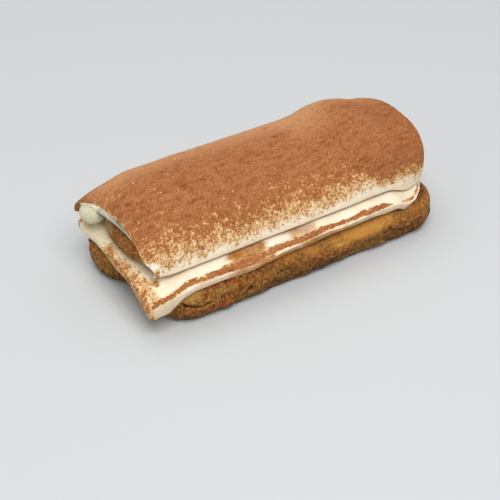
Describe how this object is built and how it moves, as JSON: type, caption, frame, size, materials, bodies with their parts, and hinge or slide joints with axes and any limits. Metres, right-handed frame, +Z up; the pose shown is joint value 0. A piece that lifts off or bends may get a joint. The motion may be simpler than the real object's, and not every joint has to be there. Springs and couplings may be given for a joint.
{
  "type": "tiramisu portion",
  "caption": "Single portion of tiramisu: soaked finger biscuits, a slab of mascarpone cream, a broad biscuit and a cocoa-dusted blanket of cream.",
  "frame": {"origin": "the middle of the portion's footprint, on the surface that it rests on", "axes": "+X along the biscuits, away from the open end of the top cream; +Y toward the long back side, so that -Y is the side with the cream ledge; +Z up"},
  "size_m": [0.1204, 0.055, 0.0396],
  "materials": {
    "biscuit_crust": "rough golden-brown baked crust with cracks, dry at the top and soaked lower down",
    "cream": "soft ivory mascarpone cream with a faint satin sheen",
    "soaked_biscuit": "dark coffee-soaked porous biscuit",
    "cocoa_dusted_cream": "matte cocoa powder over ivory cream, thinning to bare cream at the front lip"
  },
  "bodies": {
    "root": {"biscuit_lower_front": "biscuit_crust", "biscuit_lower_back": "biscuit_crust", "cream_middle": "cream", "biscuit_upper": "soaked_biscuit", "cream_top": "cocoa_dusted_cream"}
  },
  "joints": []
}
